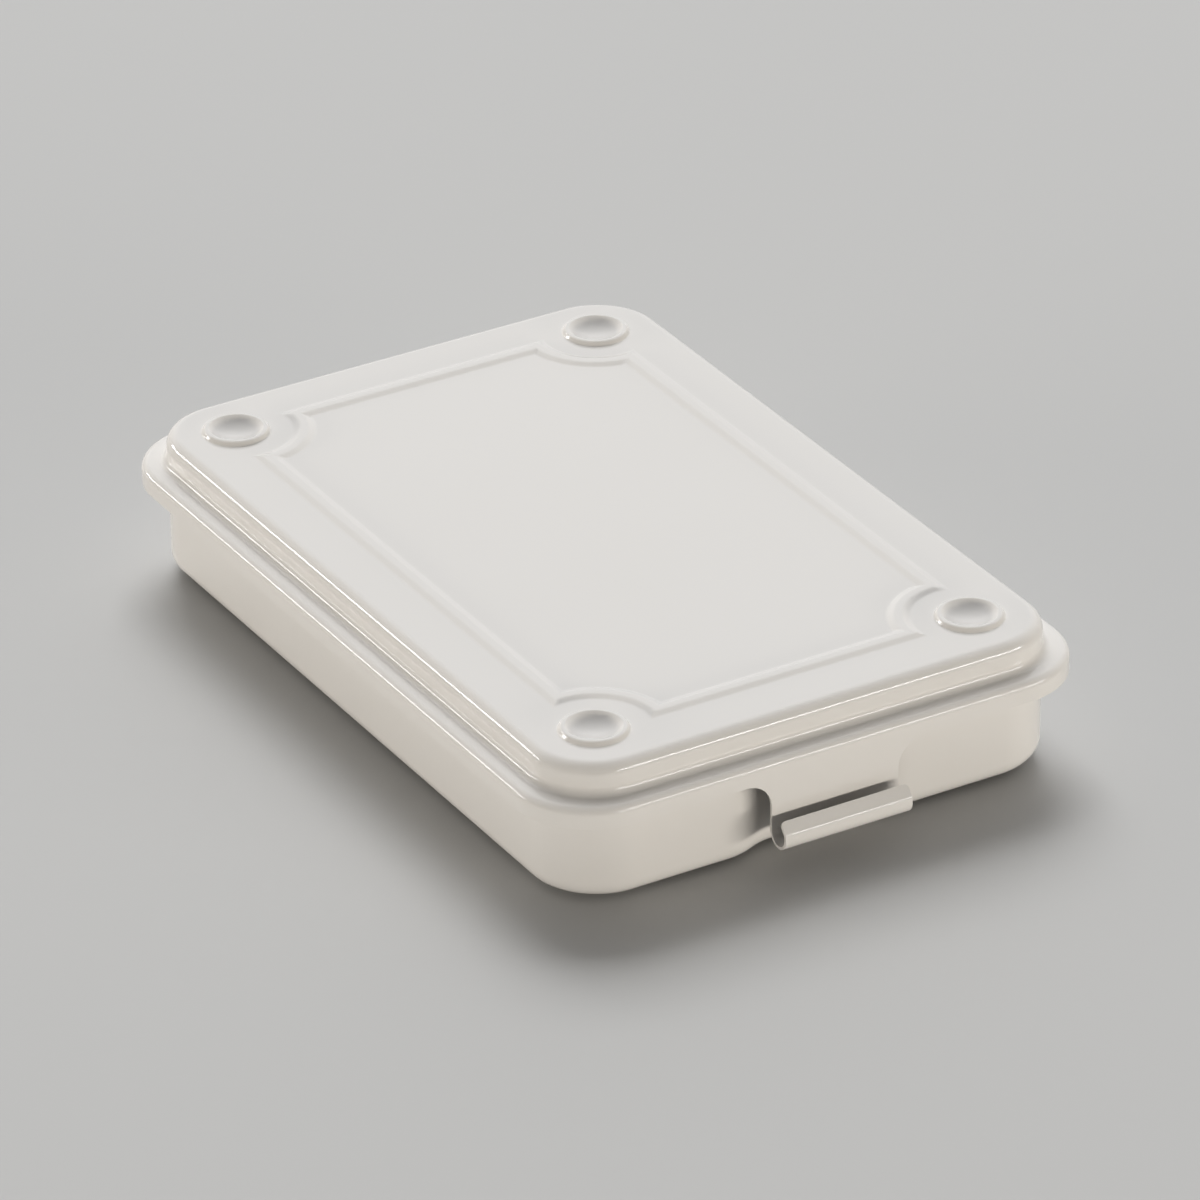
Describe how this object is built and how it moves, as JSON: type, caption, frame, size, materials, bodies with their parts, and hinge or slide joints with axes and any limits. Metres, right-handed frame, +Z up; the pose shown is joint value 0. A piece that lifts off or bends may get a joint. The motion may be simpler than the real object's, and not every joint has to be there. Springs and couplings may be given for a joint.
{
  "type": "flat top toolbox",
  "caption": "Low pressed-steel box with rounded corners, a stepped flat lid on rear hinges, stacking dishes and a curled front tab.",
  "frame": {"origin": "middle of the four feet, in the plane they stand on", "axes": "+X to the right and +Y to the back as seen from the side with the tab, +Z up"},
  "size_m": [0.1046, 0.159, 0.0274],
  "materials": {
    "enamel": "semi-gloss baked paint",
    "pin_steel": "satin drawn wire"
  },
  "bodies": {
    "box": {"body_pan": "enamel", "hinge_leaf_left": "enamel", "hinge_leaf_right": "enamel", "hinge_pin_left": "pin_steel", "hinge_pin_right": "pin_steel"},
    "lid": {"lid": "enamel"}
  },
  "joints": [
    {"name": "lid_hinge", "type": "hinge", "parent": "box", "child": "lid", "pos_m": [0, 0.076, 0.0159], "axis": [-1, 0, 0], "range_deg": [0, 180]}
  ]
}
